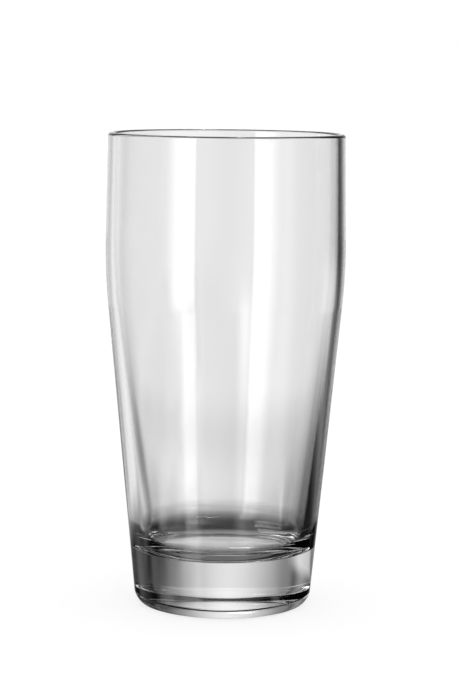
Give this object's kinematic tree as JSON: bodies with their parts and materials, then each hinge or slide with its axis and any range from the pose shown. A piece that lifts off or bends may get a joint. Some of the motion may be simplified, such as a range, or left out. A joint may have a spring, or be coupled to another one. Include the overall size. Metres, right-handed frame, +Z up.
{
  "type": "beer glass",
  "caption": "Tall tapered beer tumbler of clear glass with a soft shoulder, a near-straight neck, a rounded rim and a thick solid base.",
  "frame": {"origin": "on the table, at the centre of the foot", "axes": "+Z up along the axis of the glass, towards the mouth"},
  "size_m": [0.078, 0.078, 0.1535],
  "materials": {
    "clear_glass": "clear colourless soda-lime glass, fire-polished"
  },
  "bodies": {
    "root": {"glass": "clear_glass"}
  },
  "joints": []
}
